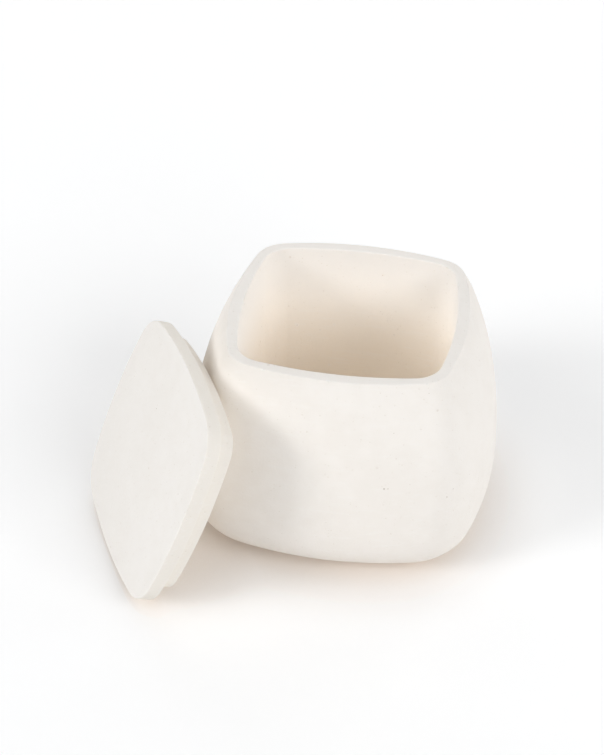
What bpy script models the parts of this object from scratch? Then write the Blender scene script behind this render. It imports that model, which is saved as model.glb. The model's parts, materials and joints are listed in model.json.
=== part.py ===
"""A cast storage box with a loose lid that leans against it.

Lengths are metres and +Z is up. The origin is the middle of the box's flat underside, and the
sides of the box face the X and Y axes.

The box is one casting. Its outside swells from a square rim with bowed sides to a fuller, rounder
bulge low down, and tucks in again to a small flat underside. Its cavity drops straight from the
mouth to a flat floor with a fillet.

The lid is the other casting: a flat slab nearly as wide as the rim, with a plug below it that
drops into the mouth. It is off the box here. It stands on one of its sides, turned and tilted,
with its plug against the shoulder of the box.
"""

import math

import bmesh
import bpy
from mathutils import Matrix, Vector
from mathutils.bvhtree import BVHTree

# Rim of the box: a square with bowed sides and round corners
RIM_WIDTH = 0.0900
RIM_SIDE_RADIUS = 0.1215
RIM_CORNER_RADIUS = 0.0128
RIM_WALL = 0.00465
RIM_ARRIS = 0.0006

# Outside of the box below the rim
BODY_HEIGHT = 0.0858
BULGE_WIDTH = 0.1196
BULGE_HEIGHT = 0.0245
BULGE_SIDE_RADIUS = 0.1340
BULGE_CORNER_RADIUS = 0.0250
BASE_WIDTH = 0.0716
SHOULDER_SWEEP = math.radians(54.3)  # how far up its quarter ellipse the shoulder runs
BASE_CURVE_POWER = 2.3  # 2 would be an ellipse, more is squarer

# Mouth, and the cavity straight below it
MOUTH_SIDE_RADIUS = 0.1510
MOUTH_CORNER_RADIUS = 0.0111
CAVITY_FILLET = 0.0065
FLOOR_THICKNESS = 0.0080

# Lid: a slab with a plug below it
LID_SETBACK = 0.00065  # how far the slab stops short of the rim's edge
LID_SIDE_RADIUS = 0.1580
LID_CORNER_RADIUS = 0.0157
SLAB_THICKNESS = 0.0057
PLUG_DEPTH = 0.0073
PLUG_CLEARANCE = 0.0012
LID_ARRIS = 0.0006

# How the lid stands beside the box
LID_TILT = math.radians(68.1)  # from lying flat
LID_TURN = math.radians(28.1)  # from square to the box, towards its front
LID_SIDE_STEP = 0.0106  # along its foot, from the middle of the box
LEAN_GAP = 0.0003

# Steps of the round shapes, and of the search for the leaning place
SIDE_STEPS = 8
CORNER_STEPS = 10
SHOULDER_STEPS = 12
BASE_STEPS = 9
FILLET_STEPS = 5
ARRIS_STEPS = 3
EDGE_SAMPLES = 4
LEAN_STEPS = 20

# The dry off-white of the casting, in linear light
CAST_COLOUR = (0.93, 0.89, 0.84, 1.0)
CAST_ROUGHNESS = 0.85
SHARP_EDGE = math.radians(35)


def clear_scene():
    """Remove whatever the open file holds."""
    for old in list(bpy.data.objects):
        bpy.data.objects.remove(old, do_unlink=True)


def cast_material(name):
    """A dry mineral surface with no metal in it."""
    material = bpy.data.materials.new(name)
    material.use_nodes = True
    shader = material.node_tree.nodes["Principled BSDF"]
    shader.inputs["Base Color"].default_value = CAST_COLOUR
    shader.inputs["Roughness"].default_value = CAST_ROUGHNESS
    shader.inputs["Metallic"].default_value = 0.0
    material.diffuse_color = CAST_COLOUR
    return material


def bowed_square(half_width, side_radius, corner_radius):
    """Points of a square with bowed sides and round corners, once round from its +X side.

    half_width is the distance from the middle to the middle of a side. The side arcs run into
    the corner arcs without a kink.
    """
    side_centre = side_radius - half_width
    reach = side_radius - corner_radius
    corner_centre = (math.sqrt(2 * reach**2 - side_centre**2) - side_centre) / 2
    side_angle = math.atan2(corner_centre, corner_centre + side_centre)
    corner_angle = math.radians(90) - 2 * side_angle
    quarter = []
    for step in range(SIDE_STEPS):
        angle = side_angle * (2 * step / SIDE_STEPS - 1)
        x = side_radius * math.cos(angle) - side_centre
        y = side_radius * math.sin(angle)
        quarter.append((x, y))
    for step in range(CORNER_STEPS):
        angle = side_angle + corner_angle * step / CORNER_STEPS
        x = corner_centre + corner_radius * math.cos(angle)
        y = corner_centre + corner_radius * math.sin(angle)
        quarter.append((x, y))
    points = []
    for _ in range(4):
        points.extend(quarter)
        quarter = [(-y, x) for x, y in quarter]
    return points


def ring(section, inset, height):
    """One level loop of points: a section drawn in by inset, at a height."""
    half_width, side_radius, corner_radius = section
    outline = bowed_square(half_width - inset, side_radius - inset, corner_radius - inset)
    return [Vector((x, y, height)) for x, y in outline]


def ease(share):
    """A smooth ramp from 0 to 1."""
    return share * share * (3 - 2 * share)


def base_section(height):
    """The outside of the box between its underside and its bulge."""
    drop = 1 - height / BULGE_HEIGHT
    spread = (1 - drop**BASE_CURVE_POWER) ** (1 / BASE_CURVE_POWER)
    half_width = (BASE_WIDTH + (BULGE_WIDTH - BASE_WIDTH) * spread) / 2
    corner_radius = BULGE_CORNER_RADIUS * 2 * half_width / BULGE_WIDTH
    return half_width, BULGE_SIDE_RADIUS, corner_radius


def shoulder_section(height):
    """The outside of the box between its bulge and its rim."""
    climb = (height - BULGE_HEIGHT) / (BODY_HEIGHT - BULGE_HEIGHT)
    sweep = math.asin(climb * math.sin(SHOULDER_SWEEP))
    drawn_in = (1 - math.cos(sweep)) / (1 - math.cos(SHOULDER_SWEEP))
    half_width = (BULGE_WIDTH - (BULGE_WIDTH - RIM_WIDTH) * drawn_in) / 2
    towards_rim = ease(climb)
    side_radius = BULGE_SIDE_RADIUS + (RIM_SIDE_RADIUS - BULGE_SIDE_RADIUS) * towards_rim
    corner_radius = BULGE_CORNER_RADIUS + (RIM_CORNER_RADIUS - BULGE_CORNER_RADIUS) * towards_rim
    return half_width, side_radius, corner_radius


def mouth_section():
    """The mouth, and the cavity straight below it."""
    return RIM_WIDTH / 2 - RIM_WALL, MOUTH_SIDE_RADIUS, MOUTH_CORNER_RADIUS


def plug_section():
    """The mouth's outline, less the clearance all round."""
    return tuple(size - PLUG_CLEARANCE for size in mouth_section())


def slab_section():
    """The lid's slab, which stops a little short of the rim's edge."""
    return RIM_WIDTH / 2 - LID_SETBACK, LID_SIDE_RADIUS, LID_CORNER_RADIUS


def quarter_turn(steps):
    """Sine and cosine pairs from 0 to 90 degrees, both ends included."""
    angles = [math.radians(90) * step / steps for step in range(steps + 1)]
    return [(math.sin(angle), math.cos(angle)) for angle in angles]


def box_rings():
    """The outside from the underside up, then over the rim, and down inside to the floor."""
    rings = []
    for _, fall in quarter_turn(BASE_STEPS)[:-1]:
        height = BULGE_HEIGHT * (1 - fall)
        rings.append(ring(base_section(height), 0, height))
    shoulder_top = BODY_HEIGHT - RIM_ARRIS
    for step in range(SHOULDER_STEPS + 1):
        height = BULGE_HEIGHT + (shoulder_top - BULGE_HEIGHT) * step / SHOULDER_STEPS
        rings.append(ring(shoulder_section(height), 0, height))
    for rise, fall in quarter_turn(ARRIS_STEPS)[1:]:
        height = shoulder_top + RIM_ARRIS * rise
        rings.append(ring(shoulder_section(shoulder_top), RIM_ARRIS * (1 - fall), height))
    for rise, fall in reversed(quarter_turn(ARRIS_STEPS)):
        height = shoulder_top + RIM_ARRIS * rise
        rings.append(ring(mouth_section(), -RIM_ARRIS * (1 - fall), height))
    for rise, fall in quarter_turn(FILLET_STEPS):
        height = FLOOR_THICKNESS + CAVITY_FILLET * (1 - rise)
        rings.append(ring(mouth_section(), CAVITY_FILLET * (1 - fall), height))
    return rings


def lid_rings():
    """The lid lying flat, from its face down. Height 0 is the ledge that sits on the rim."""
    rings = []
    for rise, fall in quarter_turn(ARRIS_STEPS):
        height = SLAB_THICKNESS - LID_ARRIS * (1 - fall)
        rings.append(ring(slab_section(), LID_ARRIS * (1 - rise), height))
    for rise, fall in quarter_turn(ARRIS_STEPS):
        rings.append(ring(slab_section(), LID_ARRIS * (1 - fall), LID_ARRIS * (1 - rise)))
    rings.append(ring(plug_section(), 0, 0))
    for rise, fall in quarter_turn(ARRIS_STEPS):
        height = LID_ARRIS * (1 - rise) - PLUG_DEPTH
        rings.append(ring(plug_section(), LID_ARRIS * (1 - fall), height))
    return rings


def casting(name, rings):
    """One closed solid: walls between neighbouring rings, and a flat cap on the first and last."""
    mesh = bpy.data.meshes.new(name)
    shape = bmesh.new()
    loops = [[shape.verts.new(point) for point in points] for points in rings]
    for lower, upper in zip(loops, loops[1:]):
        for here in range(len(lower)):
            before = here - 1
            shape.faces.new((lower[before], lower[here], upper[here], upper[before]))
    shape.faces.new(loops[0])
    shape.faces.new(loops[-1])
    bmesh.ops.recalc_face_normals(shape, faces=shape.faces)
    shape.to_mesh(mesh)
    shape.free()
    mesh.shade_smooth()
    mesh.set_sharp_from_angle(angle=SHARP_EDGE)
    mesh.materials.append(cast_material(name))
    casting_object = bpy.data.objects.new(name, mesh)
    bpy.context.scene.collection.objects.link(casting_object)
    return casting_object


def turned_points(mesh, turn):
    """The corners of a mesh after a turn."""
    return [turn @ vertex.co for vertex in mesh.vertices]


def edge_points(mesh, turn):
    """Points along every edge of a turned mesh, close enough together to feel for a touch."""
    corners = turned_points(mesh, turn)
    points = []
    for edge in mesh.edges:
        start = corners[edge.vertices[0]]
        end = corners[edge.vertices[1]]
        points.extend(start.lerp(end, sample / EDGE_SAMPLES) for sample in range(EDGE_SAMPLES))
    return points


def surface(mesh, turn):
    """The skin of a turned mesh, ready to be asked for its nearest point."""
    polygons = [polygon.vertices[:] for polygon in mesh.polygons]
    return BVHTree.FromPolygons(turned_points(mesh, turn), polygons)


def room(points, skin, shift):
    """The least distance from the shifted points to a skin."""
    return min(skin.find_nearest(point + shift)[3] for point in points)


def stand_lid(lid, box):
    """Stand the lid on the floor on one side, and push it level until it leans on the box.

    Each push is as long as the room that is left, so the lid closes in on the box and never
    enters it. Room is felt for from the lid's edges to the box and from the box's to the lid.
    """
    stand = bpy.data.objects.new("lid_stand", None)
    bpy.context.scene.collection.objects.link(stand)
    stand.rotation_euler = (0, -LID_TILT, LID_TURN)
    tilt = stand.rotation_euler.to_matrix()
    upright = Matrix.Identity(3)
    lid_points = edge_points(lid.data, tilt)
    lid_skin = surface(lid.data, tilt)
    box_points = edge_points(box.data, upright)
    box_skin = surface(box.data, upright)
    foot = Vector((0, 0, -min(point.z for point in lid_points)))
    away = Vector((-math.cos(LID_TURN), -math.sin(LID_TURN), 0))
    along_foot = Vector((math.sin(LID_TURN), -math.cos(LID_TURN), 0))
    place = foot + along_foot * LID_SIDE_STEP + away * (BULGE_WIDTH + RIM_WIDTH)
    for _ in range(LEAN_STEPS):
        left = min(room(lid_points, box_skin, place), room(box_points, lid_skin, -place))
        place -= away * (left - LEAN_GAP)
    stand.location = place
    lid.parent = stand


def main():
    """Make the two castings and lean one on the other."""
    clear_scene()
    box = casting("box_body", box_rings())
    lid = casting("lid", lid_rings())
    stand_lid(lid, box)


main()
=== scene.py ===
# %% [markdown]
# # A cast storage box and its loose lid
# The object is two castings of one off-white mineral mix: a square box with bowed sides that
# swells below its rim, and a slab lid with a plug below it. The lid is off, and leans on the box.
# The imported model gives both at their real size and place. Here each is modelled again with a
# finer skin, its air pinholes and chips are cut in, and it gets the dry cast finish.

# %% Load the frame
import json
import math
import random

import bmesh
import bpy
import numpy as np
from mathutils import Matrix, Vector

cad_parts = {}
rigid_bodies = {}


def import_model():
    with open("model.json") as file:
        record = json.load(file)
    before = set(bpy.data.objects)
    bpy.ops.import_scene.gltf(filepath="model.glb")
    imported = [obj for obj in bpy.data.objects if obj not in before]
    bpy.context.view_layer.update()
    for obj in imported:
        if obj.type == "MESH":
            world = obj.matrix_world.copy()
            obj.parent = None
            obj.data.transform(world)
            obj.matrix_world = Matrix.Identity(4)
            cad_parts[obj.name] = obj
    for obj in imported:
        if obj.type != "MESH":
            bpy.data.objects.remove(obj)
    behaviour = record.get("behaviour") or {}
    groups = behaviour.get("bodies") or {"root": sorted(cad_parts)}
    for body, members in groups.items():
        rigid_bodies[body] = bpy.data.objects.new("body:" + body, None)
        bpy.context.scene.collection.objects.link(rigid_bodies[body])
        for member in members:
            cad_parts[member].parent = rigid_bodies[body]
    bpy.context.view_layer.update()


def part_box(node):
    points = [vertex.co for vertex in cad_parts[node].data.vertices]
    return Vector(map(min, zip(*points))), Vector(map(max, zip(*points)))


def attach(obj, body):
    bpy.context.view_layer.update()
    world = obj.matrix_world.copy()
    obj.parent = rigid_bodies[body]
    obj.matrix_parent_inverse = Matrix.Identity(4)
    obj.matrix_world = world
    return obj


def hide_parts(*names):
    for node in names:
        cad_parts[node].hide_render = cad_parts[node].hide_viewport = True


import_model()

# %% [markdown]
# ## Camera
# A long lens from some way off keeps the sides of a small object nearly parallel. The camera here
# looks down on the box from its front, turned a little to the right and rolled by two degrees. It
# isn't aimed at the rim: the middle of the rim lands right of and above the picture's middle, so
# the aim is worked out from the place in the picture where it lands.

# %% Camera
PICTURE_SIZE = (604, 755)
RIM_MIDDLE_PIXEL = (347.1, 307.8)
LENS_MM = 85.0
SENSOR_MM = 36.0
CAMERA_DISTANCE = 0.6733
CAMERA_AZIMUTH = math.radians(6.6)
CAMERA_ELEVATION = math.radians(35.2)
CAMERA_ROLL = math.radians(-2.3)

box_low, box_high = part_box("box_body")
box_height = box_high.z
rim_middle = Vector((0, 0, box_height))
focal_pixels = LENS_MM / SENSOR_MM * PICTURE_SIZE[1]


def pixel_direction(pixel):
    """Where a pixel looks, in the camera's own axes."""
    across = (pixel[0] - PICTURE_SIZE[0] / 2) / focal_pixels
    up = (PICTURE_SIZE[1] / 2 - pixel[1]) / focal_pixels
    return Vector((across, up, -1)).normalized()


def camera_turn():
    """The camera's rotation: first square on to the rim's middle, then off it, then rolled."""
    back = Vector((
        math.sin(CAMERA_AZIMUTH) * math.cos(CAMERA_ELEVATION),
        -math.cos(CAMERA_AZIMUTH) * math.cos(CAMERA_ELEVATION),
        math.sin(CAMERA_ELEVATION),
    ))
    right = Vector((0, 0, 1)).cross(back).normalized()
    square_on = Matrix((right, back.cross(right), back)).transposed()
    aim = pixel_direction(RIM_MIDDLE_PIXEL)
    yaw = Matrix.Rotation(-math.atan2(aim.x, -aim.z), 3, "Y")
    pitch = Matrix.Rotation(math.asin(aim.y), 3, "X")
    roll = Matrix.Rotation(CAMERA_ROLL, 3, "Z")
    return back, square_on @ (roll @ yaw @ pitch).transposed()


def add_camera():
    """A camera that sees the middle of the rim at its pixel."""
    back, turn = camera_turn()
    data = bpy.data.cameras.new("studio_camera")
    data.lens = LENS_MM
    data.sensor_width = SENSOR_MM
    camera = bpy.data.objects.new("studio_camera", data)
    bpy.context.scene.collection.objects.link(camera)
    place = Matrix.Translation(rim_middle + back * CAMERA_DISTANCE)
    camera.matrix_world = place @ turn.to_4x4()
    bpy.context.scene.camera = camera
    bpy.context.view_layer.update()
    return camera


camera = add_camera()
print("camera at", [round(x, 3) for x in camera.location], "m")

# %% [markdown]
# ## Sizes
# The frame gives how wide and how high the castings are. The other sizes say how the outline
# changes with height: it starts as a small underside, swells to the bulge low down, and draws in
# to the rim, with its sides less and its corners more rounded on the way down.

# %% Sizes
bulge_width = box_high.x - box_low.x

RIM_WIDTH = 0.0900
RIM_SIDE_RADIUS = 0.1215
RIM_CORNER_RADIUS = 0.0128
RIM_WALL = 0.00465
RIM_ARRIS = 0.0006

BULGE_HEIGHT = 0.0245
BULGE_SIDE_RADIUS = 0.1340
BULGE_CORNER_RADIUS = 0.0250
BASE_WIDTH = 0.0716
SHOULDER_SWEEP = math.radians(54.3)
BASE_CURVE_POWER = 2.3

MOUTH_SIDE_RADIUS = 0.1510
MOUTH_CORNER_RADIUS = 0.0111
CAVITY_FILLET = 0.0065
FLOOR_THICKNESS = 0.0080

LID_SETBACK = 0.00065
LID_SIDE_RADIUS = 0.1580
LID_CORNER_RADIUS = 0.0157
SLAB_THICKNESS = 0.0057
PLUG_DEPTH = 0.0073
PLUG_CLEARANCE = 0.0012
LID_ARRIS = 0.0006
LID_TILT = math.radians(68.1)
LID_TURN = math.radians(28.1)

print("box", round(1000 * bulge_width, 1), "mm wide,", round(1000 * box_height, 1), "mm high")

# %% [markdown]
# ## An outline by spinning
# Every level of both castings has the same kind of outline: four long arcs joined by four short
# ones. It could be typed in point by point, or pulled out of a circle. Spin does it as a compass
# would: one point is carried round the centre of each arc in turn, so every arc is a true arc and
# runs into the next without a kink.

# %% Outline helpers
SIDE_STEPS = 5
CORNER_STEPS = 9
LOOP_POINTS = 4 * (2 * SIDE_STEPS + CORNER_STEPS)
WELD = 0.000001


def deselect_all():
    """Nothing selected, so that the next operator acts only on what it adds."""
    bpy.ops.object.select_all(action="DESELECT")


def pick(piece):
    """Only this piece selected and active, so that the next operator acts on it alone."""
    deselect_all()
    piece.select_set(True)
    bpy.context.view_layer.objects.active = piece


def start_mesh(name):
    """A new mesh with nothing in it yet, open in edit mode."""
    deselect_all()
    bpy.ops.mesh.primitive_plane_add(size=RIM_WIDTH)
    piece = bpy.context.object
    piece.name = name
    bpy.ops.object.mode_set(mode="EDIT")
    bpy.ops.mesh.select_all(action="SELECT")
    bpy.ops.mesh.delete(type="VERT")
    return piece


def spin_about(centre, angle, steps):
    """Carry the selected point anticlockwise round a centre. Spin's own angle is clockwise."""
    bpy.ops.mesh.spin(steps=steps, angle=-angle, center=centre, axis=(0, 0, 1))


def add_outline(section, inset, height):
    """One closed outline at a height, from its half width, side radius and corner radius."""
    half_width, side_radius, corner_radius = (size - inset for size in section)
    side_centre = side_radius - half_width
    reach = side_radius - corner_radius
    corner_centre = (math.sqrt(2 * reach**2 - side_centre**2) - side_centre) / 2
    side_angle = math.atan2(corner_centre, corner_centre + side_centre)
    bpy.ops.mesh.select_all(action="DESELECT")
    bpy.ops.mesh.primitive_plane_add(size=half_width, location=(half_width, 0, height))
    bpy.ops.mesh.merge(type="CENTER")
    for quarter in range(4):
        turn = Matrix.Rotation(math.radians(90) * quarter, 3, "Z")
        spin_about(turn @ Vector((-side_centre, 0, height)), side_angle, SIDE_STEPS)
        corner = turn @ Vector((corner_centre, corner_centre, height))
        spin_about(corner, math.radians(90) - 2 * side_angle, CORNER_STEPS)
        spin_about(turn @ Vector((0, -side_centre, height)), side_angle, SIDE_STEPS)
    bpy.ops.mesh.select_linked()
    bpy.ops.mesh.remove_doubles(threshold=WELD)
    bpy.ops.object.vertex_group_assign_new()


print(LOOP_POINTS, "points in each outline")

# %% [markdown]
# ## From outlines to a skin
# Neighbouring outlines are bridged, as sheets are glued on the ribs of a model boat. The first and
# the last outline are closed with a flat: the outline is extruded and scaled in towards its middle
# a few times, and the small one that is left is filled. Inset would do this on a plain square, but
# its edges cross where it is wider than the corners' radius. The shape is closed then, and its
# normals can be turned outwards. Extrude adds its faces and edges in an order of chance, and the
# marks are scattered face by face later. So what the flats added is numbered by its points, which
# come in the same order every time, and every run gives the same marks.

# %% Skin helpers
CAP_SHARES = (0.8, 0.6, 0.4, 0.2)


def select_outlines(piece, *numbers):
    """Select whole outlines by their number, which is also their vertex group's."""
    bpy.ops.mesh.select_all(action="DESELECT")
    for number in numbers:
        piece.vertex_groups.active_index = number
        bpy.ops.object.vertex_group_select()


def close_outline(piece, number):
    """Close an outline with a flat, in steps towards its middle."""
    select_outlines(piece, number)
    share_before = 1
    for share in CAP_SHARES:
        bpy.ops.mesh.extrude_edges_indiv()
        factor = share / share_before
        bpy.ops.transform.resize(value=(factor, factor, 1), center_override=(0, 0, 0))
        share_before = share
    bpy.ops.mesh.edge_face_add()


def millilitres(piece):
    """What a closed mesh holds. It is far too small, or less than nothing, if faces are turned."""
    shape = bmesh.new()
    shape.from_mesh(piece.data)
    volume = shape.calc_volume(signed=True)
    shape.free()
    return volume * 1e6


def point_numbers(part):
    """The numbers of the points of a face or an edge, lowest first."""
    return sorted(point.index for point in part.verts)


def settle_order(piece, side_edges, side_faces):
    """Number what the flats added by its points, after the edges and faces of the sides."""
    shape = bmesh.new()
    shape.from_mesh(piece.data)
    for parts, before in ((shape.edges, side_edges), (shape.faces, side_faces)):
        parts.ensure_lookup_table()
        for number, part in enumerate(sorted(parts[before:], key=point_numbers), start=before):
            part.index = number
        parts.sort()
    shape.to_mesh(piece.data)
    shape.free()


def skin(name, levels):
    """A closed casting from its levels: a section, how far it is drawn in, and its height."""
    piece = start_mesh(name)
    for section, inset, height in levels:
        add_outline(section, inset, height)
    for number in range(len(levels) - 1):
        select_outlines(piece, number, number + 1)
        bpy.ops.mesh.bridge_edge_loops()
    for number in (0, len(levels) - 1):
        close_outline(piece, number)
    bpy.ops.mesh.select_all(action="SELECT")
    bpy.ops.mesh.normals_make_consistent(inside=False)
    bpy.ops.object.mode_set(mode="OBJECT")
    bpy.ops.object.vertex_group_remove(all=True)
    side_faces = LOOP_POINTS * (len(levels) - 1)
    settle_order(piece, side_faces + LOOP_POINTS * len(levels), side_faces)
    print(name, "cage:", len(piece.data.vertices), "points,", round(millilitres(piece), 1), "ml")
    return piece


def quarter_turn(steps):
    """Sine and cosine pairs from 0 to 90 degrees, both ends included."""
    angles = [math.radians(90) * step / steps for step in range(steps + 1)]
    return [(math.sin(angle), math.cos(angle)) for angle in angles]


# %% [markdown]
# ## The box
# The levels run up the outside, over the rim and down inside. The base is a squarish quarter
# ellipse and the shoulder a true one, both worked out from the sizes. The rim's two edges are
# broken by a small arris, because a cast edge is rubbed down once it is out of the mould. The rim
# falls inwards by a hair: two outlines at one height, one round the other, can be bridged askew.

# %% Box levels
BASE_STEPS = 11
SHOULDER_STEPS = 15
ARRIS_STEPS = 3
WALL_STEPS = 12
FILLET_STEPS = 5
RIM_FALL = 0.00004


def base_section(height):
    """The outside between the underside and the bulge."""
    drop = 1 - height / BULGE_HEIGHT
    spread = (1 - drop**BASE_CURVE_POWER) ** (1 / BASE_CURVE_POWER)
    half_width = (BASE_WIDTH + (bulge_width - BASE_WIDTH) * spread) / 2
    return half_width, BULGE_SIDE_RADIUS, BULGE_CORNER_RADIUS * 2 * half_width / bulge_width


def shoulder_section(height):
    """The outside between the bulge and the rim."""
    climb = (height - BULGE_HEIGHT) / (box_height - BULGE_HEIGHT)
    sweep = math.asin(climb * math.sin(SHOULDER_SWEEP))
    drawn_in = (1 - math.cos(sweep)) / (1 - math.cos(SHOULDER_SWEEP))
    half_width = (bulge_width - (bulge_width - RIM_WIDTH) * drawn_in) / 2
    eased = climb * climb * (3 - 2 * climb)
    side_radius = BULGE_SIDE_RADIUS + (RIM_SIDE_RADIUS - BULGE_SIDE_RADIUS) * eased
    corner_radius = BULGE_CORNER_RADIUS + (RIM_CORNER_RADIUS - BULGE_CORNER_RADIUS) * eased
    return half_width, side_radius, corner_radius


def outside_levels():
    """From the underside up to the foot of the rim's arris."""
    levels = []
    for _, fall in quarter_turn(BASE_STEPS)[:-1]:
        height = BULGE_HEIGHT * (1 - fall)
        levels.append((base_section(height), 0, height))
    for step in range(SHOULDER_STEPS + 1):
        height = BULGE_HEIGHT + (arris_foot - BULGE_HEIGHT) * step / SHOULDER_STEPS
        levels.append((shoulder_section(height), 0, height))
    return levels


def rim_levels():
    """Over the two broken edges of the rim."""
    levels = []
    for rise, fall in quarter_turn(ARRIS_STEPS)[1:]:
        height = arris_foot + RIM_ARRIS * rise
        levels.append((shoulder_section(arris_foot), RIM_ARRIS * (1 - fall), height))
    for rise, fall in reversed(quarter_turn(ARRIS_STEPS)):
        height = arris_foot - RIM_FALL + RIM_ARRIS * rise
        levels.append((mouth, -RIM_ARRIS * (1 - fall), height))
    return levels


def inside_levels():
    """Down the straight cavity and round its fillet to the floor."""
    levels = []
    wall_foot = FLOOR_THICKNESS + CAVITY_FILLET
    for step in range(1, WALL_STEPS):
        levels.append((mouth, 0, arris_foot + (wall_foot - arris_foot) * step / WALL_STEPS))
    for rise, fall in quarter_turn(FILLET_STEPS):
        height = FLOOR_THICKNESS + CAVITY_FILLET * (1 - rise)
        levels.append((mouth, CAVITY_FILLET * (1 - fall), height))
    return levels


arris_foot = box_height - RIM_ARRIS
mouth = (RIM_WIDTH / 2 - RIM_WALL, MOUTH_SIDE_RADIUS, MOUTH_CORNER_RADIUS)
box = skin("cast_box", outside_levels() + rim_levels() + inside_levels())

# %% [markdown]
# ## The lid
# The lid is modelled lying flat, plug down, at the middle of the box, and then stood in its place.
# Its slab stops a little short of the rim's edge, and the plug is the mouth's outline less a
# clearance, so the lid would drop into the box. The ledge between them is relieved by a hair
# towards the plug, which makes a lid seat on its outer edge and not rock.

# %% Lid levels
LEDGE_RELIEF = 0.00005
plug = tuple(size - PLUG_CLEARANCE for size in mouth)
slab = (RIM_WIDTH / 2 - LID_SETBACK, LID_SIDE_RADIUS, LID_CORNER_RADIUS)


def slab_levels():
    """The slab, from its face down to the ledge that sits on the rim."""
    levels = []
    for rise, fall in quarter_turn(ARRIS_STEPS):
        height = SLAB_THICKNESS - LID_ARRIS * (1 - fall)
        levels.append((slab, LID_ARRIS * (1 - rise), height))
    levels.append((slab, 0, SLAB_THICKNESS / 2))
    for rise, fall in quarter_turn(ARRIS_STEPS):
        levels.append((slab, LID_ARRIS * (1 - fall), LID_ARRIS * (1 - rise)))
    return levels


def plug_levels():
    """The plug, from the ledge down. The first two levels keep its inner corner crisp."""
    levels = [(plug, -LID_ARRIS, LEDGE_RELIEF / 2), (plug, 0, LEDGE_RELIEF), (plug, 0, -LID_ARRIS)]
    for rise, fall in quarter_turn(ARRIS_STEPS):
        height = LID_ARRIS * (1 - rise) - PLUG_DEPTH
        levels.append((plug, LID_ARRIS * (1 - fall), height))
    return levels


lid = skin("cast_lid", slab_levels() + plug_levels())

# %% [markdown]
# ## Smooth, but poured and rubbed by hand
# A subdivision surface rounds the cage into a fine skin. A casting is never as true as its
# drawing: the mix shrinks a little unevenly, and sanding takes more off here than there. A slow
# cloud texture draws the skin in by a tenth of a millimetre or so, never out, so that the pieces
# stay inside their measured size.

# %% Fine skin
SKIN_LEVELS = 2
UNEVEN_DEPTH = 0.00016
UNEVEN_WAVE = 0.022


def apply_modifiers(piece):
    """Apply every modifier of one piece, in order."""
    pick(piece)
    for name in [modifier.name for modifier in piece.modifiers]:
        bpy.ops.object.modifier_apply(modifier=name)


def refine(piece, wave):
    """Round the cage, then make it slightly uneven."""
    smooth = piece.modifiers.new("fine_skin", "SUBSURF")
    smooth.levels = SKIN_LEVELS
    smooth.render_levels = SKIN_LEVELS
    clouds = bpy.data.textures.new(piece.name + "_unevenness", "CLOUDS")
    clouds.noise_scale = wave
    uneven = piece.modifiers.new("hand_cast", "DISPLACE")
    uneven.texture = clouds
    uneven.texture_coords = "LOCAL"
    uneven.strength = UNEVEN_DEPTH
    uneven.mid_level = 1.0
    apply_modifiers(piece)
    print(piece.name, "skin:", len(piece.data.polygons), "faces")


for piece in (box, lid):
    refine(piece, UNEVEN_WAVE)

# %% [markdown]
# ## Standing the lid
# The lid stands on one of its sides: tilted back from lying flat, then turned towards the front.
# The frame's own lid says where it stands, so the finer one is moved until the middles of their
# boxes meet. Both turns and the move are made in edit mode, which leaves the object itself at the
# origin.

# %% Stand the lid
UP = Vector((0, 0, 1))

lid_axis = Matrix.Rotation(LID_TURN, 3, "Z") @ Matrix.Rotation(-LID_TILT, 3, "Y") @ UP


def stand(piece, node):
    """Tilt and turn a mesh that lies flat, and move it to its node's place."""
    pick(piece)
    bpy.ops.object.mode_set(mode="EDIT")
    bpy.ops.mesh.select_all(action="SELECT")
    for angle, axis in ((-LID_TILT, "Y"), (LID_TURN, "Z")):
        bpy.ops.transform.rotate(
            value=-angle, orient_axis=axis, orient_type="GLOBAL", center_override=(0, 0, 0))
    bpy.ops.object.mode_set(mode="OBJECT")
    corners = np.array([point.co for point in piece.data.vertices])
    middle = Vector((corners.min(0) + corners.max(0)) / 2)
    node_low, node_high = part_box(node)
    bpy.ops.object.mode_set(mode="EDIT")
    bpy.ops.transform.translate(value=(node_low + node_high) / 2 - middle)
    bpy.ops.object.mode_set(mode="OBJECT")
    corners = np.array([point.co for point in piece.data.vertices])
    print(piece.name, "now", corners.min(0).round(5), corners.max(0).round(5))
    print("its node", [round(x, 5) for x in node_low], [round(x, 5) for x in node_high])


stand(lid, "lid")
print("the lid's face looks towards", [round(x, 3) for x in lid_axis])

# %% [markdown]
# ## Finding a place by its picture point
# Some marks show plainly in the picture. A line from the camera through such a picture point meets
# the skin where the mark is, so the mark sits on the real surface, seen from any side. The other
# marks are scattered by chance: a face is drawn as often as its area says, and the draws start
# from a fixed number, so that every run gives the same box.

# %% Places on a skin
MARKS_SEED = 41


def seen_place(piece, pixel):
    """The point of a skin that a picture point shows, and which way the skin faces there."""
    direction = camera.matrix_world.to_3x3() @ pixel_direction(pixel)
    _, point, normal, _ = piece.ray_cast(camera.location, direction)
    return point, normal


def chance_places(piece, count, draw):
    """Points scattered evenly over the whole skin."""
    faces = piece.data.polygons
    areas = [face.area for face in faces]
    return [(face.center.copy(), face.normal.copy()) for face in draw.choices(faces, areas, k=count)]


draw = random.Random(MARKS_SEED)
behind_rim, _ = seen_place(box, RIM_MIDDLE_PIXEL)
print("through the middle of the rim the camera sees", [round(x, 4) for x in behind_rim])

# %% [markdown]
# ## Where the edges are
# The finish changes over a casting, so each point of the skin gets a few numbers, stored as
# attributes of the mesh. The first is for edges, which get knocked and rubbed: it comes from the
# turn between the faces round the point, and is spread to the points next to it. Painting edges by
# hand would do as well, but this finds every edge on any shape. The chips use it too.

# %% Edges
EDGE_TURN = (math.radians(3), math.radians(9))
EDGE_SPREAD_PASSES = 2
EDGE_ENOUGH = 0.5


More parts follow.
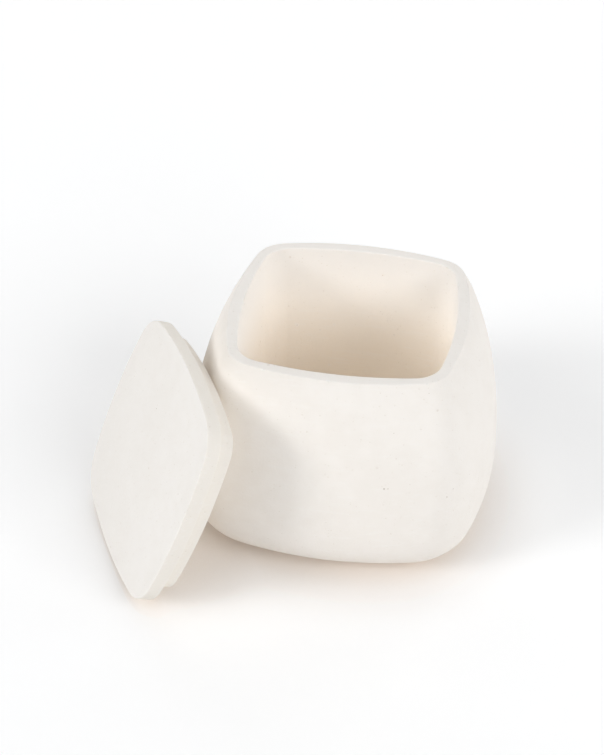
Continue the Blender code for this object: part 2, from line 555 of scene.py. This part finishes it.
def straight_share(value, low, high):
    """0 to 1 as a value goes from low to high, at an even pace."""
    return min(1, max(0, (value - low) / (high - low)))


def eased_share(value, low, high):
    """The same, with a soft start and a soft end."""
    share = straight_share(value, low, high)
    return share * share * (3 - 2 * share)


def store(piece, name, shares):
    """Keep one number for each point of a mesh, under a name that a material can read."""
    attribute = piece.data.attributes.new(name, "FLOAT", "POINT")
    attribute.data.foreach_set("value", shares)


def sharpest_turn(point):
    """The greatest turn between two faces at a point; a hollow counts as less than none."""
    return max(edge.calc_face_angle_signed(0) for edge in point.link_edges)


def edge_shares(piece):
    """How much of an edge each point lies on."""
    shape = bmesh.new()
    shape.from_mesh(piece.data)
    shares = [straight_share(sharpest_turn(point), *EDGE_TURN) for point in shape.verts]
    rings = [[edge.other_vert(point).index for edge in point.link_edges] for point in shape.verts]
    shape.free()
    for _ in range(EDGE_SPREAD_PASSES):
        shares = [
            (own + sum(shares[other] for other in ring)) / (1 + len(ring))
            for own, ring in zip(shares, rings)]
    return shares


edge_points = {}
for piece in (box, lid):
    shares = edge_shares(piece)
    store(piece, "edge", shares)
    edge_points[piece] = [number for number, share in enumerate(shares) if share > EDGE_ENOUGH]
print("points on edges:", {piece.name: len(points) for piece, points in edge_points.items()})

# %% [markdown]
# ## Cavity light, deeper tones and painted shade
# The first share is for the whole cavity, which is painted paler: painted light that lifts the
# cavity's shade. The second is painted shade in the box: a warmer, deeper tone that grows further
# down the cavity. On the lid the same share gives a warmer, deeper tone over all but its face. The
# third is painted shade: it deepens the rim, the underside and the lid's face, the lid's face more
# towards its free side. All three are read off each point's place and the way the skin faces there.

# %% Cavity light, deeper tones and painted shade
CAVITY_FACING = (0.2, 0.8)
FLOOR_FACING = 0.5
CAVITY_SHADE_DEPTH = (0.004, 0.048)
FLAT_FACING = (0.7, 0.95)
LID_FACE_FACING = (0.6, 0.95)
LID_FACE_SHADE_FROM = (-0.050, -0.098)


def box_inside(point):
    """The cavity's walls face the middle of the box, and its floor looks up from low down."""
    if point.normal.z > FLOOR_FACING and point.co.z < box_height / 2:
        return 1
    outwards = Vector((point.co.x, point.co.y, 0)).normalized()
    return eased_share(-point.normal.dot(outwards), *CAVITY_FACING)


def box_cavity_shade(point):
    """Painted shade: warmer and deeper further down the cavity."""
    return box_inside(point) * eased_share(box_height - point.co.z, *CAVITY_SHADE_DEPTH)


def box_flat_shade(point):
    """Painted shade on the rim and the underside."""
    near_top = point.co.z > box_height - 2 * RIM_ARRIS
    near_foot = point.co.z < 2 * RIM_ARRIS
    return eased_share(abs(point.normal.z), *FLAT_FACING) if near_top or near_foot else 0


def lid_inside(point):
    """A lid has no cavity."""
    return 0


def lid_sides(point):
    """All over the lid but its face."""
    return 1 - eased_share(point.normal.dot(lid_axis), *LID_FACE_FACING)


def lid_face_shade(point):
    """Painted shade on the lid's face, more towards its free side, away from the box."""
    return (1 - lid_sides(point)) * straight_share(point.co.x, *LID_FACE_SHADE_FROM)


for piece, inside, warm_tone_and_shade, flat_shade in (
        (box, box_inside, box_cavity_shade, box_flat_shade), (lid, lid_inside, lid_sides, lid_face_shade)):
    for name, share in (("inside", inside), ("warm_tone_and_shade", warm_tone_and_shade), ("flat_shade", flat_shade)):
        shares = [share(point) for point in piece.data.vertices]
        store(piece, name, shares)
        print(piece.name, name, "on average", round(sum(shares) / len(shares), 3))

# %% [markdown]
# ## The finish, as effects to share
# The dry cast surface is made of a few effects that both castings use with values of their own:
# slow clouds of a paler and a deeper tone, fine grain with open pores, a few darker sand grains,
# and edges that are rubbed paler. Each is a group of nodes, built once. They could be painted on
# as a picture, but noise that reads the object's own coordinates has no seams, and stays sharp
# however near the camera comes.

# %% Node helpers
def new_group(name, inputs, outputs):
    """An empty group of nodes with its sockets, its input node and its output node."""
    group = bpy.data.node_groups.new(name, "ShaderNodeTree")
    for label, kind in inputs:
        group.interface.new_socket(label, in_out="INPUT", socket_type="NodeSocket" + kind)
    for label, kind in outputs:
        group.interface.new_socket(label, in_out="OUTPUT", socket_type="NodeSocket" + kind)
    return group, group.nodes.new("NodeGroupInput"), group.nodes.new("NodeGroupOutput")


def feed(tree, socket, value):
    """Link a socket to another one, or set it to a plain value."""
    if isinstance(value, bpy.types.NodeSocket):
        tree.links.new(value, socket)
    else:
        socket.default_value = value


def math_node(tree, operation, first, second):
    """A math node whose two sides are sockets or plain numbers; gives its output."""
    node = tree.nodes.new("ShaderNodeMath")
    node.operation = operation
    feed(tree, node.inputs[0], first)
    feed(tree, node.inputs[1], second)
    return node.outputs[0]


def share_of(tree, mask, share):
    """A mask or a size, times a plain number."""
    return math_node(tree, "MULTIPLY", mask, share)


def between(tree, value, low, high):
    """A smooth 0 to 1 as a value goes from low to high."""
    node = tree.nodes.new("ShaderNodeMapRange")
    node.interpolation_type = "SMOOTHSTEP"
    node.inputs["From Min"].default_value = low
    node.inputs["From Max"].default_value = high
    tree.links.new(value, node.inputs["Value"])
    return node.outputs["Result"]


def blend_colours(tree, mask, under, over):
    """One colour over another by a mask; the colours are sockets or plain values."""
    node = tree.nodes.new("ShaderNodeMix")
    node.data_type = "RGBA"
    tree.links.new(mask, node.inputs["Factor"])
    feed(tree, node.inputs[6], under)
    feed(tree, node.inputs[7], over)
    return node.outputs[2]


# %% [markdown]
# ### Patterns of a real size
# Blender's noise takes a scale, the number of lumps in a metre. A maker thinks of how big a lump
# is, so these helpers take its size and divide. Voronoi cells scatter single marks. Their distance
# makes perfectly round ones, so the point that they read is moved about a little first.

# %% Pattern helpers
MIDDLE_OF_NOISE = (0.5, 0.5, 0.5)


def noise(tree, point, size, detail):
    """Noise whose lumps have a real size, in metres."""
    node = tree.nodes.new("ShaderNodeTexNoise")
    node.inputs["Detail"].default_value = detail
    tree.links.new(point, node.inputs["Vector"])
    tree.links.new(math_node(tree, "DIVIDE", 1, size), node.inputs["Scale"])
    return node.outputs["Fac"]


def cells(tree, point, size):
    """Voronoi cells of a real size: how far the middle of the cell is, and its own two numbers."""
    node = tree.nodes.new("ShaderNodeTexVoronoi")
    tree.links.new(point, node.inputs["Vector"])
    tree.links.new(math_node(tree, "DIVIDE", 1, size), node.inputs["Scale"])
    split = tree.nodes.new("ShaderNodeSeparateColor")
    tree.links.new(node.outputs["Color"], split.inputs["Color"])
    return node.outputs["Distance"], split.outputs["Red"], split.outputs["Green"]


def wobbled(tree, point, size, reach):
    """The point moved a little this way and that, so that round marks come out uneven."""
    lumps = tree.nodes.new("ShaderNodeTexNoise")
    lumps.inputs["Scale"].default_value = 1 / size
    tree.links.new(point, lumps.inputs["Vector"])
    centred = tree.nodes.new("ShaderNodeVectorMath")
    centred.operation = "SUBTRACT"
    centred.inputs[1].default_value = MIDDLE_OF_NOISE
    tree.links.new(lumps.outputs["Color"], centred.inputs[0])
    moved = tree.nodes.new("ShaderNodeVectorMath")
    moved.operation = "MULTIPLY_ADD"
    moved.inputs[1].default_value = (reach, reach, reach)
    tree.links.new(centred.outputs["Vector"], moved.inputs[0])
    tree.links.new(point, moved.inputs[2])
    return moved.outputs["Vector"]


# %% [markdown]
# ### Clouds
# A mineral mix dries unevenly, so its tone wanders by a percent or two over a few centimetres. The
# group gives a colour between a paler and a deeper one.

# %% Clouds group
QUICK_CLOUD_SIZE = 0.14
QUICK_SHARE = 0.4
SLOW_SHARE = 0.6
CLOUD_BAND = (0.36, 0.64)


def build_clouds():
    """Slow and quicker noise together, as a mix of two tones."""
    group, given, result = new_group(
        "drying_clouds",
        (("Point", "Vector"), ("Size", "Float"), ("Pale", "Color"), ("Deep", "Color")),
        (("Colour", "Color"),))
    point, size = given.outputs["Point"], given.outputs["Size"]
    slow = share_of(group, noise(group, point, size, detail=2), SLOW_SHARE)
    quick = noise(group, point, share_of(group, size, QUICK_CLOUD_SIZE), detail=4)
    both = math_node(group, "ADD", share_of(group, quick, QUICK_SHARE), slow)
    mask = between(group, both, *CLOUD_BAND)
    colour = blend_colours(group, mask, given.outputs["Pale"], given.outputs["Deep"])
    group.links.new(colour, result.inputs["Colour"])
    return group


drying_clouds = build_clouds()
print(drying_clouds.name, "nodes:", len(drying_clouds.nodes))

# %% [markdown]
# ### Grain, pores and sand
# Close up the surface is a fine stone-like grain, with open pores much smaller than the cut
# pinholes, and here and there a darker grain of sand. The group gives a height for the bump and
# one mask each for pores and sand.

# %% Grain group
WOBBLE_SIZE = 0.0004
WOBBLE_REACH = 0.0006
CHOSEN_CELLS = (0.80, 0.84)
PORE_EDGE = (0.10, 0.30)
SAND_EDGE = (0.05, 0.15)
PORE_DEPTH = 1.6


def spots(tree, point, size, edge):
    """Small spots in some of the cells, some strong and some faint."""
    distance, number, strength = cells(tree, point, size)
    here = math_node(tree, "MULTIPLY", between(tree, number, *CHOSEN_CELLS), strength)
    spot = math_node(tree, "SUBTRACT", 1, between(tree, distance, *edge))
    return math_node(tree, "MULTIPLY", spot, here)


def build_grain():
    """Height of grain and pores, and masks for pores and for single dark grains."""
    group, given, result = new_group(
        "cast_grain",
        (("Point", "Vector"), ("Grain", "Float"), ("Pore", "Float"), ("Sand", "Float")),
        (("Height", "Float"), ("Pores", "Float"), ("Sand", "Float")))
    lumps = noise(group, given.outputs["Point"], given.outputs["Grain"], detail=5)
    uneven = wobbled(group, given.outputs["Point"], WOBBLE_SIZE, WOBBLE_REACH)
    pores = spots(group, uneven, given.outputs["Pore"], PORE_EDGE)
    height = math_node(group, "SUBTRACT", lumps, share_of(group, pores, PORE_DEPTH))
    sand = spots(group, uneven, given.outputs["Sand"], SAND_EDGE)
    group.links.new(height, result.inputs["Height"])
    group.links.new(pores, result.inputs["Pores"])
    group.links.new(sand, result.inputs["Sand"])
    return group


cast_grain = build_grain()
print(cast_grain.name, "nodes:", len(cast_grain.nodes))

# %% [markdown]
# ### Rubbed edges and sanding strokes
# Sanding and handling leave the edges a little paler and smoother, in patches. The stored edge
# number says where the edges are, and noise breaks the line up. On the flats the sandpaper leaves
# faint strokes: noise stretched far along one direction.

# %% Rubbing group
STROKE_STRETCH = 0.04
STROKE_TURN = (0.3, 0.2, 0.6)
STROKE_BAND = (0.52, 0.74)
PATCH_BAND = (0.38, 0.60)


def build_rubbing():
    """Masks for rubbed edges and for sanding strokes."""
    group, given, result = new_group(
        "hand_rubbing",
        (("Point", "Vector"), ("Edge", "Float"), ("Patch", "Float"), ("Stroke", "Float")),
        (("Worn", "Float"), ("Strokes", "Float")))
    point = given.outputs["Point"]
    patches = between(group, noise(group, point, given.outputs["Patch"], detail=3), *PATCH_BAND)
    worn = math_node(group, "MULTIPLY", given.outputs["Edge"], patches)
    stretch = group.nodes.new("ShaderNodeMapping")
    stretch.inputs["Rotation"].default_value = STROKE_TURN
    stretch.inputs["Scale"].default_value = (STROKE_STRETCH, 1, 1)
    group.links.new(point, stretch.inputs["Vector"])
    stretched = noise(group, stretch.outputs["Vector"], given.outputs["Stroke"], detail=2)
    group.links.new(worn, result.inputs["Worn"])
    group.links.new(between(group, stretched, *STROKE_BAND), result.inputs["Strokes"])
    return group


hand_rubbing = build_rubbing()
print("groups:", [group.name for group in bpy.data.node_groups])

# %% [markdown]
# ## From groups to a material
# A material here is a Principled shader, the point that its patterns read, and the groups with
# their values. The point comes from the object's own coordinates, so a pattern stays on its piece
# when the piece moves. Each piece shifts it by another amount, or both would show one pattern.

# %% Material helpers
def place_group(tree, group, values):
    """A group in a material, with its values set and its sockets by name."""
    node = tree.nodes.new("ShaderNodeGroup")
    node.node_tree = group
    for label, value in values.items():
        feed(tree, node.inputs[label], value)
    return node


def blank_material(name):
    """A new material: its node tree and its shader."""
    material = bpy.data.materials.new(name)
    material.use_nodes = True
    return material, material.node_tree, material.node_tree.nodes["Principled BSDF"]


def own_point(tree, shift):
    """The object's own coordinates, shifted so that no two pieces share one pattern."""
    coordinates = tree.nodes.new("ShaderNodeTexCoord")
    shifted = tree.nodes.new("ShaderNodeMapping")
    shifted.inputs["Location"].default_value = shift
    tree.links.new(coordinates.outputs["Object"], shifted.inputs["Vector"])
    return shifted.outputs["Vector"]


def stored(tree, name):
    """A stored number of the mesh, as a mask."""
    attribute = tree.nodes.new("ShaderNodeAttribute")
    attribute.attribute_name = name
    return attribute.outputs["Fac"]


# %% [markdown]
# ## The cast finish
# Both castings come from one mix, so one function makes the finish, and each piece gives it its
# own tones and sizes. The tones are laid over one another: first the clouds, then the cavity's
# painted light, the painted shade deep in the cavity (a warmer tone over the lid's sides) and the
# painted shade on the flats, then strokes a little paler, pores darker as painted shade in them,
# sand a little darker, and worn edges last. The same masks make the surface rougher or smoother,
# and the grain's height makes the bump.

# %% Cast finish
GRAIN_SIZE = 0.0009
PATCH_SIZE = 0.006
FLAT_SHADE_SHARE = 0.60
STROKE_SHARE = 0.30
PORE_SHADE_SHARE = 0.40
SAND_SHARE = 0.32
WORN_SMOOTHER = 0.14
STROKES_SMOOTHER = 0.06
PORES_ROUGHER = 0.08
BUMP_STRENGTH = 0.5


def cast_finish(name, look):
    """The dry cast mineral finish, with one piece's own values."""
    material, tree, shader = blank_material(name)
    point = own_point(tree, look["shift"])
    clouds = place_group(tree, drying_clouds, {
        "Point": point, "Size": look["cloud_size"], "Pale": look["pale"], "Deep": look["deep"]})
    grain = place_group(tree, cast_grain, {
        "Point": point, "Grain": GRAIN_SIZE, "Pore": look["pore_size"], "Sand": look["sand_size"]})
    rubbed = place_group(tree, hand_rubbing, {
        "Point": point, "Edge": stored(tree, "edge"), "Patch": PATCH_SIZE,
        "Stroke": look["stroke_size"]})
    worn, strokes = rubbed.outputs["Worn"], rubbed.outputs["Strokes"]
    pores, sand = grain.outputs["Pores"], grain.outputs["Sand"]
    # Over the clouds come painted light in the cavity, painted shade deep in it (a warmer tone on the
    # lid's sides), painted shade on the flats, paler strokes, painted shade in the pores, darker sand,
    # and worn edges.
    layers = (
        (stored(tree, "inside"), "inside"),
        (stored(tree, "warm_tone_and_shade"), "warm_tone_and_shade"),
        (share_of(tree, stored(tree, "flat_shade"), FLAT_SHADE_SHARE), "flat_shade"),
        (share_of(tree, strokes, STROKE_SHARE), "rubbed"),
        # Pores are darkened as painted shade in them.
        (share_of(tree, pores, PORE_SHADE_SHARE), "pore_shade"),
        (share_of(tree, sand, SAND_SHARE), "sand"),
        (share_of(tree, worn, look["worn_share"]), "rubbed"),
    )
    colour = clouds.outputs["Colour"]
    for mask, tone in layers:
        colour = blend_colours(tree, mask, colour, look[tone])
    tree.links.new(colour, shader.inputs["Base Color"])
    dry = math_node(tree, "SUBTRACT", look["roughness"], share_of(tree, worn, WORN_SMOOTHER))
    dry = math_node(tree, "SUBTRACT", dry, share_of(tree, strokes, STROKES_SMOOTHER))
    dry = math_node(tree, "ADD", dry, share_of(tree, pores, PORES_ROUGHER))
    tree.links.new(dry, shader.inputs["Roughness"])
    bump = tree.nodes.new("ShaderNodeBump")
    bump.inputs["Strength"].default_value = BUMP_STRENGTH
    bump.inputs["Distance"].default_value = look["bump_depth"]
    tree.links.new(grain.outputs["Height"], bump.inputs["Height"])
    tree.links.new(bump.outputs["Normal"], shader.inputs["Normal"])
    return material


# The cavity's tone is painted light that makes it paler. The warmer deep tone is painted shade deep in
# the box's cavity, and a warmer tone over the lid's sides. The tone for flats is painted shade on the
# rim, the underside and the lid's face, and the pores' tone is painted shade in them.
BOX_LOOK = {
    "shift": (0, 0, 0),
    "cloud_size": 0.045,
    "pale": (0.950, 0.912, 0.866, 1),
    "deep": (0.922, 0.880, 0.828, 1),
    "inside": (0.957, 0.938, 0.912, 1),
    "warm_tone_and_shade": (0.943, 0.886, 0.809, 1),
    "flat_shade": (0.918, 0.888, 0.848, 1),
    "rubbed": (0.955, 0.930, 0.892, 1),
    "pore_shade": (0.70, 0.63, 0.54, 1),
    "pore_size": 0.0011,
    "sand": (0.60, 0.52, 0.43, 1),
    "sand_size": 0.0048,
    "stroke_size": 0.0012,
    "worn_share": 0.65,
    "roughness": 0.88,
    "bump_depth": 0.00017,
}
LID_LOOK = dict(
    BOX_LOOK, shift=(0.31, 0.17, 0.23), cloud_size=0.036,
    pale=(0.960, 0.930, 0.890, 1), deep=(0.936, 0.902, 0.856, 1),
    warm_tone_and_shade=(0.918, 0.876, 0.812, 1), flat_shade=(0.870, 0.840, 0.800, 1),
    sand_size=0.0040, stroke_size=0.0010, worn_share=0.25)

box_finish = cast_finish("cast_mineral_box", BOX_LOOK)
lid_finish = cast_finish("cast_mineral_lid", LID_LOOK)
print("nodes in the box's finish:", len(box_finish.node_tree.nodes))

# %% [markdown]
# ## Pinhole walls and fresh chips
# The pinholes' walls are painted a dark brownish grey, as painted shade in the holes. A chip shows
# the mix as it is inside: paler, rougher, and without the rubbed skin. Both are made first, because
# the cutters wear them and hand them on to the walls that they cut.

# %% Wall finishes
WALL_PATCH = 0.0012
WALL_SHIFT = (0.5, 0.1, 0.7)


def wall_finish(name, pale, deep, roughness):
    """A broken wall, or a pinhole's wall with painted shade: two tones in small patches."""
    material, tree, shader = blank_material(name)
    clouds = place_group(tree, drying_clouds, {
        "Point": own_point(tree, WALL_SHIFT), "Size": WALL_PATCH, "Pale": pale, "Deep": deep})
    tree.links.new(clouds.outputs["Colour"], shader.inputs["Base Color"])
    shader.inputs["Roughness"].default_value = roughness
    return material


# The pinholes' walls are painted dark: painted shade in the holes.
pinhole_wall_shade = wall_finish(
    "shaded_pinhole_wall", pale=(0.46, 0.38, 0.28, 1), deep=(0.30, 0.24, 0.17, 1), roughness=0.95)
chip_finish = wall_finish(
    "fresh_chip", pale=(0.955, 0.935, 0.905, 1), deep=(0.90, 0.87, 0.82, 1), roughness=0.97)
print("wall finishes:", pinhole_wall_shade.name, chip_finish.name)

# %% [markdown]
# ## Cutters
# A bubble next to the mould opens as a round hole with its widest part just under the skin, so its
# cutter is a small sphere with its middle below the surface. A chip is a shallow bite out of an
# edge: a bigger sphere, stretched along the edge, that only just dips in.

# %% Cutters
PINHOLE_SINK = 0.35
CHANCE_PINHOLE = (0.00005, 0.00014)
CHIP_SIZES = (0.0007, 0.0015)
CHIP_BITES = (0.00008, 0.00022)
CHIP_STRETCH = (1.0, 2.4)
PINHOLE_STEPS = 2
CHIP_STEPS = 3
LEAST_GAP = 0.0004


def start_cutter(name, finish):
    """An empty cutter mesh with its finish, open in edit mode."""
    cutter = start_mesh(name)
    cutter.data.materials.append(finish)
    return cutter


def add_ball(place, facing, along, radius, stretch, steps):
    """One ball of a cutter, stretched along a direction on the skin."""
    across = facing.cross(along).normalized()
    turn = Matrix((across.cross(facing), across, facing)).transposed()
    bpy.ops.mesh.select_all(action="DESELECT")
    bpy.ops.mesh.primitive_ico_sphere_add(
        subdivisions=steps, radius=radius, location=place, rotation=turn.to_euler(),
        scale=(stretch, 1, 1))


def far_enough(place, reach, taken):
    """Whether a new ball stays clear of every earlier one."""
    return all(
        (place - other).length > reach + other_reach + LEAST_GAP for other, other_reach in taken)


def cut_pinholes(places, taken):
    """A cutter with a bubble at each place that is still free."""
    cutter = start_cutter("pinhole_cutter", pinhole_wall_shade)
    for point, normal, radius in places:
        place = point - normal * radius * PINHOLE_SINK
        if far_enough(place, radius, taken):
            add_ball(place, normal, normal.orthogonal(), radius, 1, PINHOLE_STEPS)
            taken.append((place, radius))
    bpy.ops.object.mode_set(mode="OBJECT")
    return cutter


def cut_chips(piece, numbers, flat_axis, taken):
    """A cutter with a shallow bite at each edge point that is still free."""
    cutter = start_cutter("chip_cutter", chip_finish)
    for number in numbers:
        point = piece.data.vertices[number]
        radius = draw.uniform(*CHIP_SIZES)
        stretch = draw.uniform(*CHIP_STRETCH)
        place = point.co + point.normal * (radius - draw.uniform(*CHIP_BITES))
        if far_enough(place, radius * stretch, taken):
            along = point.normal.cross(flat_axis)
            add_ball(place, point.normal, along, radius, stretch, CHIP_STEPS)
            taken.append((place, radius * stretch))
    bpy.ops.object.mode_set(mode="OBJECT")
    return cutter


def nearest_edge_point(piece, pixel):
    """The edge point nearest to what a picture point shows."""
    seen, _ = seen_place(piece, pixel)
    points = piece.data.vertices
    return min(edge_points[piece], key=lambda number: (points[number].co - seen).length)


# %% [markdown]
# ## Cutting the marks
# The marks that the picture shows come first, each pinhole with its own radius, then the scattered
# ones. The cutters of a piece are joined and taken away in one exact Boolean, which gives closed
# holes with real walls. It can leave two points almost on one another, and a face that thin may
# fold over when it is split into triangles, so such points are joined. The number of faces before
# and after shows that the cut worked.

# %% Cut the marks
BOX_PINHOLES = (
    (384, 489, 0.00026), (388, 489, 0.00018), (447, 497, 0.00021), (453, 489, 0.00016),
    (400, 507, 0.00009), (297, 325, 0.00014), (320, 330, 0.00013), (394, 335, 0.00013))
BOX_CHIPS = ((460, 284), (439, 369), (427, 384), (245, 354), (262, 370), (330, 381))
LID_PINHOLES = (
    (178, 494, 0.00013), (167, 482, 0.00012), (131, 467, 0.00013), (148, 387, 0.00011),
    (131, 402, 0.00012), (166, 413, 0.00010), (107, 479, 0.00011), (122, 503, 0.00012),
    (137, 517, 0.00010), (145, 531, 0.00011))
LID_CHIPS = ((206, 430), (186, 368), (170, 548))
BOX_SCATTER = (70, 9)
LID_SCATTER = (30, 7)
CLOSE_POINTS = 0.00001


def join_close_points(piece):
    """Join points that the cut left almost on one another."""
    pick(piece)
    bpy.ops.object.mode_set(mode="EDIT")
    bpy.ops.mesh.select_all(action="SELECT")
    bpy.ops.mesh.remove_doubles(threshold=CLOSE_POINTS)
    bpy.ops.object.mode_set(mode="OBJECT")


def cut_marks(piece, pinholes, chip_pixels, scatter, flat_axis):
    """Seen and scattered marks of one piece, cut in one go."""
    faces_before = len(piece.data.polygons)
    taken = []
    pinholes_more, chips_more = scatter
    chips = [nearest_edge_point(piece, pixel) for pixel in chip_pixels]
    chips += draw.sample(edge_points[piece], chips_more)
    chip_cutter = cut_chips(piece, chips, flat_axis, taken)
    places = [(*seen_place(piece, (across, down)), radius) for across, down, radius in pinholes]
    least, most = CHANCE_PINHOLE
    for point, normal in chance_places(piece, pinholes_more, draw):
        places.append((point, normal, least + (most - least) * draw.random() ** 2))
    pinhole_cutter = cut_pinholes(places, taken)
    pick(pinhole_cutter)
    chip_cutter.select_set(True)
    bpy.ops.object.join()
    cut = piece.modifiers.new("marks", "BOOLEAN")
    cut.operation = "DIFFERENCE"
    cut.solver = "EXACT"
    cut.object = pinhole_cutter
    cut.material_mode = "TRANSFER"
    apply_modifiers(piece)
    bpy.data.objects.remove(pinhole_cutter)
    join_close_points(piece)
    print(piece.name, "marks:", len(taken), "faces:", faces_before, "to", len(piece.data.polygons))


box.data.materials.append(box_finish)
lid.data.materials.append(lid_finish)
cut_marks(box, BOX_PINHOLES, BOX_CHIPS, BOX_SCATTER, UP)
cut_marks(lid, LID_PINHOLES, LID_CHIPS, LID_SCATTER, lid_axis)
print("box materials:", [material.name for material in box.data.materials])

# %% [markdown]
# ## Smooth shading
# A casting has no facets, but a broken edge has a crisp outline. Shading by angle gives both: faces
# that meet at a slight turn are shaded as one surface, and where a pinhole or a chip breaks the
# skin, the turn is greater and the edge stays sharp.

# %% Smooth shading
SHARP_TURN = math.radians(35)

for piece in (box, lid):
    pick(piece)
    bpy.ops.object.shade_smooth_by_angle(angle=SHARP_TURN)
    print(piece.name, "points:", len(piece.data.vertices))

# %% [markdown]
# ## Which piece is which
# Each finer casting stands for the imported solid of its name, which is hidden, and moves with that
# solid's body.

# %% Ride
for piece, node, body in ((box, "box_body", "body"), (lid, "lid", "lid")):
    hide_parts(node)
    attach(piece, body)
    print(piece.name, "rides on", body)

# %% [markdown]
# ## Floor
# The box stands on seamless white paper. In the picture the paper is all but white, with the soft
# warm shade of the object on it. The paper's own colour carries the shadows. To the camera and in
# reflections it also glows a little, which lifts it to the picture's white without more light on
# the object. The paper is a hair cool, because the warm castings throw warm light on it. Close
# under the object light hardly gets in, so the paper is darkened there by how enclosed it is. The
# direction that this looks in leans a little to the lid's side and to the back, because the shade
# lies mostly in front of the box and between it and the lid.

# %% Floor
FLOOR_SIZE = 6.0
PAPER = (0.876, 0.880, 0.886, 1)
PAPER_SHADED = (0.825, 0.775, 0.730, 1)
PAPER_LIFT = 0.225
SHADE_REACH = 0.036
SHADE_LEAN = (-0.12, 0.17, 0.98)
SHADE_BAND = (0.15, 0.93)
PAPER_ROUGHNESS = 0.9


def seen_directly(tree):
    """One for rays from the camera, and for those that show the surroundings in gloss or glass."""
    ray = tree.nodes.new("ShaderNodeLightPath")
    seen = math_node(tree, "MAXIMUM", ray.outputs["Is Camera Ray"], ray.outputs["Is Glossy Ray"])
    return math_node(tree, "MAXIMUM", seen, ray.outputs["Is Transmission Ray"])


def paper_finish():
    """White paper, deeper where something stands close over it."""
    material, tree, shader = blank_material("studio_paper")
    closed_in = tree.nodes.new("ShaderNodeAmbientOcclusion")
    closed_in.inputs["Distance"].default_value = SHADE_REACH
    lean = tree.nodes.new("ShaderNodeCombineXYZ")
    for socket, share in zip(lean.inputs, SHADE_LEAN):
        socket.default_value = share
    tree.links.new(lean.outputs["Vector"], closed_in.inputs["Normal"])
    open_share = between(tree, closed_in.outputs["AO"], *SHADE_BAND)
    paper = blend_colours(tree, open_share, PAPER_SHADED, PAPER)
    tree.links.new(paper, shader.inputs["Base Color"])
    shader.inputs["Roughness"].default_value = PAPER_ROUGHNESS
    glow = math_node(tree, "MULTIPLY", seen_directly(tree), open_share)
    glow = share_of(tree, glow, PAPER_LIFT)
    shader.inputs["Emission Color"].default_value = (1, 1, 1, 1)
    tree.links.new(glow, shader.inputs["Emission Strength"])
    return material


deselect_all()
bpy.ops.mesh.primitive_plane_add(size=FLOOR_SIZE)
floor = bpy.context.object
floor.name = "studio_floor"
floor.data.materials.append(paper_finish())
print("floor:", FLOOR_SIZE, "m square")

# %% [markdown]
# ## Soft lamps all round
# The object was lit in a white tent: light comes from all sides, low enough that the upright walls
# are as bright as the rim, and most from the left front and the right front. A ring of wide, soft
# suns does the same. One even world would light the cavity and the shaded side too flatly. Each
# lamp is given by its compass direction, its height and its spread in degrees, and its strength.

# %% Lamps
SOFT_LAMPS = (
    ("left_front", 214, 26, 20, 0.97),
    ("left_front_high", 210, 40, 24, 0.33),
    ("front_left", 242, 41, 28, 0.37),
    ("front_right", 303, 26, 26, 0.56),
    ("right_front", 330, 33, 30, 0.82),
    ("right", 0, 30, 60, 0.53),
    ("back_right", 45, 30, 60, 0.40),
    ("back", 90, 30, 60, 0.58),
    ("back_left", 135, 30, 60, 0.35),
    ("left", 180, 25, 24, 0.29),
)


def add_soft_lamp(name, azimuth, elevation, spread, strength):
    """A wide sun that shines from a compass direction, as high as its elevation."""
    data = bpy.data.lights.new(name, "SUN")
    data.energy = strength
    data.angle = math.radians(spread)
    lamp = bpy.data.objects.new(name, data)
    bpy.context.scene.collection.objects.link(lamp)
    high, round_about = math.radians(elevation), math.radians(azimuth)
    towards = Vector((
        math.cos(round_about) * math.cos(high), math.sin(round_about) * math.cos(high), math.sin(high)))
    lamp.rotation_euler = towards.to_track_quat("Z", "Y").to_euler()


for lamp_values in SOFT_LAMPS:
    add_soft_lamp(*lamp_values)
print(len(SOFT_LAMPS), "lamps")

# %% [markdown]
# ## White surroundings
# Past the paper the camera sees white, as in the tent. The surroundings look white to it and in
# reflections, but they give next to no light, since the lamps stand for them. White walls pass
# light on many times. Blender stops after four diffuse bounces, which leaves a white cavity too
# dark and too grey, so it may go on for longer here.

# %% Surroundings
WHITE_WALL_BOUNCES = 12
WORLD_LIGHT = 0.02


def add_world():
    """Surroundings that look white and give next to no light."""
    world = bpy.data.worlds.new("studio")
    world.use_nodes = True
    background = world.node_tree.nodes["Background"]
    background.inputs["Color"].default_value = (1, 1, 1, 1)
    tree = world.node_tree
    strength = math_node(tree, "MAXIMUM", seen_directly(tree), WORLD_LIGHT)
    tree.links.new(strength, background.inputs["Strength"])
    bpy.context.scene.world = world


add_world()
bpy.context.scene.cycles.diffuse_bounces = WHITE_WALL_BOUNCES
bpy.context.scene.view_settings.view_transform = "Standard"
print("world:", bpy.context.scene.world.name)
